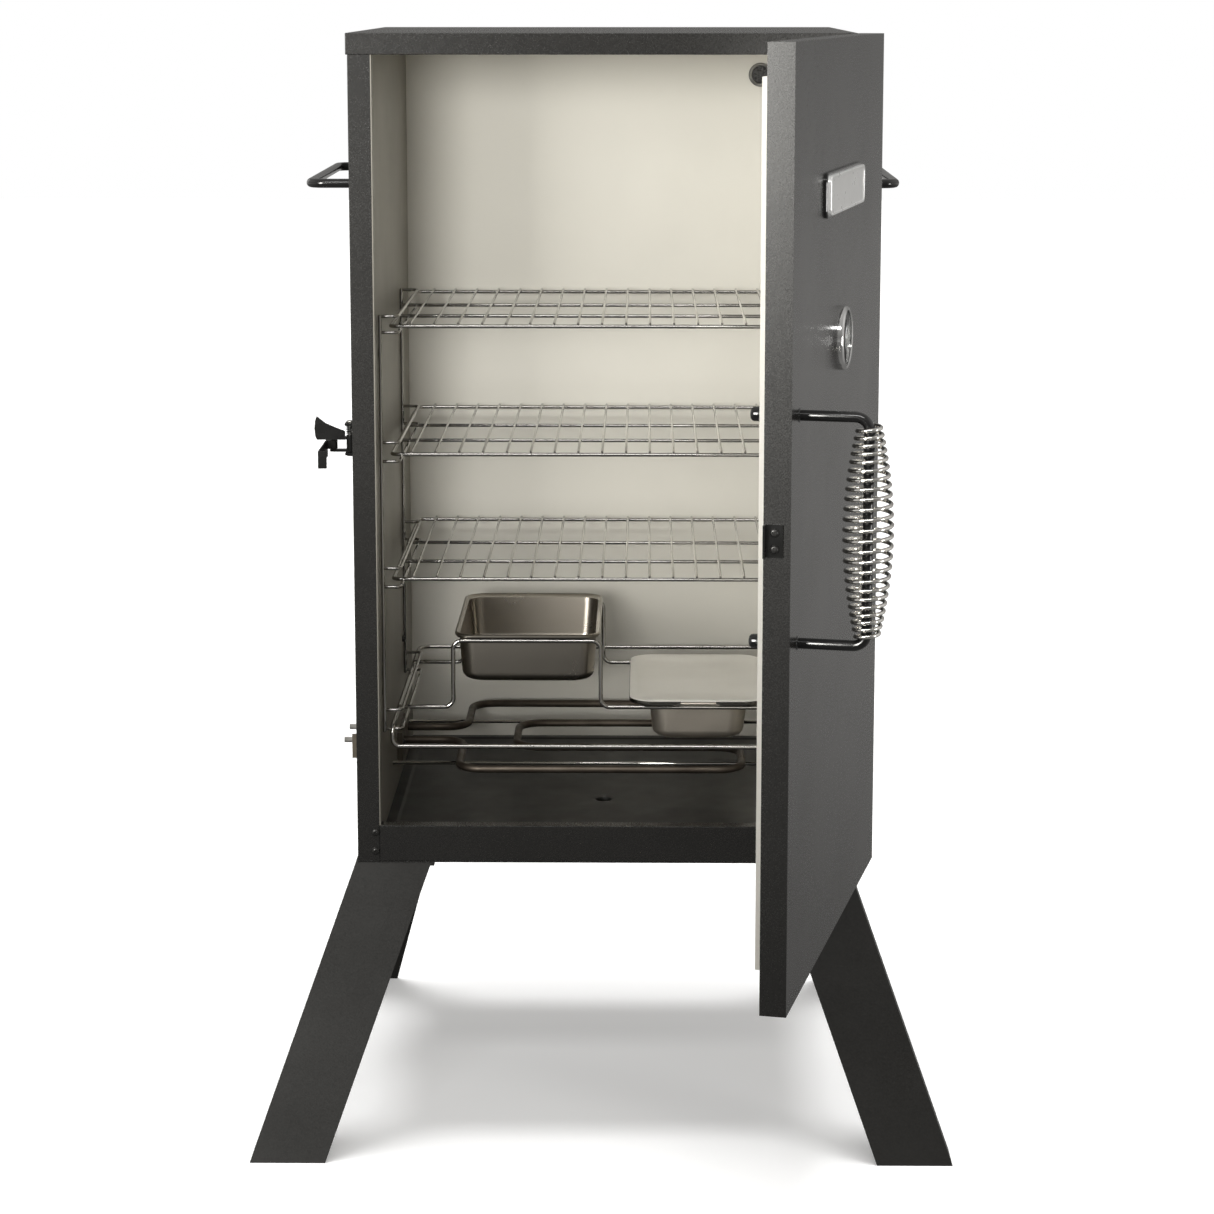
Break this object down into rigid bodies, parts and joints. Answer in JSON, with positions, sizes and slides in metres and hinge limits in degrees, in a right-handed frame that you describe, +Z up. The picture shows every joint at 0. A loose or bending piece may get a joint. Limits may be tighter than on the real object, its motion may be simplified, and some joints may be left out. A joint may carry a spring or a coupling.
{
  "type": "electric cabinet smoker",
  "caption": "Upright insulated smoker cabinet on splayed legs, with a hinged door, coil-grip handle, wire racks, water pan, chip tray and electric heating element.",
  "frame": {"origin": "on the floor, under the centre of the cabinet's outer shell (the open door and the legs are not counted)", "axes": "+X to the user's right, +Y towards the back of the cabinet, +Z up; the door is on the -Y face"},
  "size_m": [0.6134, 0.884, 0.975],
  "materials": {
    "black_powder": "charcoal textured powder coat",
    "black_trim": "black semi-gloss powder coat",
    "leg_paint": "dark grey-brown powder coat",
    "cream_liner": "satin bright sheet, warm cream cast",
    "black_floor": "black enamel",
    "door_pan": "satin cream",
    "mineral_wool": "matte fibre mat",
    "zinc_hardware": "zinc plated",
    "chrome_wire": "bright chrome plate",
    "element_sheath": "oxidised dark sheath",
    "element_clamp": "heat-stained steel",
    "ceramic": "glazed ceramic",
    "pan_steel": "brushed stainless steel, browned",
    "lid_steel": "satin stainless steel",
    "handle_black": "black gloss paint",
    "spring_nickel": "bright nickel plate",
    "badge_black": "gloss black",
    "badge_silver": "satin aluminium, plain",
    "bezel_chrome": "polished chrome",
    "dial_face": "printed dial, plain marks only",
    "clear_glass": "clear",
    "needle_red": "red"
  },
  "bodies": {
    "cabinet": {"side_panel_left": "black_powder", "side_panel_right": "black_powder", "back_panel": "black_powder", "bottom_panel": "black_powder", "front_sill": "black_powder", "top_lid": "black_powder", "liner_left": "cream_liner", "liner_right": "cream_liner", "liner_back": "cream_liner", "liner_ceiling": "cream_liner", "liner_floor": "black_floor", "wall_insulation": "mineral_wool", "cabinet_screws": "zinc_hardware", "rack_support_left": "chrome_wire", "rack_support_right": "chrome_wire", "heating_element": "element_sheath", "element_support_rods": "chrome_wire", "element_block": "element_clamp", "terminal_insulators": "ceramic", "terminal_pins": "zinc_hardware", "controller_bracket": "element_clamp", "side_handle_left": "handle_black", "side_handle_right": "handle_black", "leg_front_left": "leg_paint", "leg_front_right": "leg_paint", "leg_back_left": "leg_paint", "leg_back_right": "leg_paint", "bolts_and_nuts": "zinc_hardware", "latch_base": "black_trim", "pivot_pins": "zinc_hardware", "hinge_leaves_cabinet": "black_trim", "drip_tray_rails": "black_powder", "vent_sleeve": "black_trim"},
    "door": {"door_skin": "black_powder", "door_liner": "door_pan", "door_insulation": "mineral_wool", "badge_backing": "badge_black", "badge_plate": "badge_silver", "thermometer_bezel": "bezel_chrome", "thermometer_dial": "dial_face", "thermometer_lens": "clear_glass", "thermometer_stem": "zinc_hardware", "door_handle_rod": "handle_black", "door_handle_spring": "spring_nickel", "door_handle_nuts": "handle_black", "latch_keeper": "black_trim", "door_screws": "zinc_hardware", "hinge_leaves_door": "black_trim"},
    "thermometer_needle": {"thermometer_needle": "needle_red"},
    "latch_lever": {"latch_lever": "black_trim"},
    "latch_hook": {"latch_hook": "black_trim"},
    "rack_top": {"rack_top": "chrome_wire"},
    "rack_middle": {"rack_middle": "chrome_wire"},
    "rack_lower": {"rack_lower": "chrome_wire"},
    "tray_support": {"tray_support": "chrome_wire"},
    "water_pan": {"water_pan": "pan_steel"},
    "chip_tray": {"chip_tray": "pan_steel"},
    "chip_tray_lid": {"chip_tray_lid": "lid_steel"},
    "drip_tray": {"drip_tray": "pan_steel"},
    "vent_damper": {"vent_damper": "black_powder"}
  },
  "joints": [
    {"name": "door_hinge", "type": "hinge", "parent": "cabinet", "child": "door", "pos_m": [0.2185, -0.201, 0.615], "axis": [0, 0, 1], "range_deg": [-77.35, 92.65]},
    {"name": "thermometer_turn", "type": "hinge", "parent": "door", "child": "thermometer_needle", "pos_m": [0.19182, -0.41895, 0.744], "axis": [0.9757, -0.219, 0], "range_deg": [-150, 150]},
    {"name": "latch_lever_turn", "type": "hinge", "parent": "cabinet", "child": "latch_lever", "pos_m": [-0.2195, -0.152, 0.62], "axis": [0, 0, 1], "range_deg": [-90, 30]},
    {"name": "latch_hook_turn", "type": "hinge", "parent": "latch_lever", "child": "latch_hook", "pos_m": [-0.234, -0.152, 0.62], "axis": [0, 0, 1], "range_deg": [-30, 90]},
    {"name": "rack_top_slide", "type": "slide", "parent": "cabinet", "child": "rack_top", "axis": [0, -1, 0], "range_m": [0, 0.12]},
    {"name": "rack_middle_slide", "type": "slide", "parent": "cabinet", "child": "rack_middle", "axis": [0, -1, 0], "range_m": [0, 0.12]},
    {"name": "rack_lower_slide", "type": "slide", "parent": "cabinet", "child": "rack_lower", "axis": [0, -1, 0], "range_m": [0, 0.12]},
    {"name": "tray_support_slide", "type": "slide", "parent": "cabinet", "child": "tray_support", "axis": [0, -1, 0], "range_m": [0, 0.12]},
    {"name": "water_pan_lift", "type": "slide", "parent": "tray_support", "child": "water_pan", "axis": [0, 0, 1], "range_m": [0, 0.045]},
    {"name": "chip_tray_lift", "type": "slide", "parent": "tray_support", "child": "chip_tray", "axis": [0, 0, 1], "range_m": [0, 0.04]},
    {"name": "chip_lid_lift", "type": "slide", "parent": "chip_tray", "child": "chip_tray_lid", "axis": [0, 0, 1], "range_m": [0, 0.04]},
    {"name": "drip_tray_slide", "type": "slide", "parent": "cabinet", "child": "drip_tray", "axis": [0, -1, 0], "range_m": [0, 0.16]},
    {"name": "vent_damper_turn", "type": "hinge", "parent": "cabinet", "child": "vent_damper", "pos_m": [0.166, 0.198, 0.93], "axis": [0, -1, 0], "range_deg": [0, 90]}
  ],
  "couplings": [
    {"joint": "latch_hook_turn", "follows": "latch_lever_turn", "ratio": -1}
  ]
}
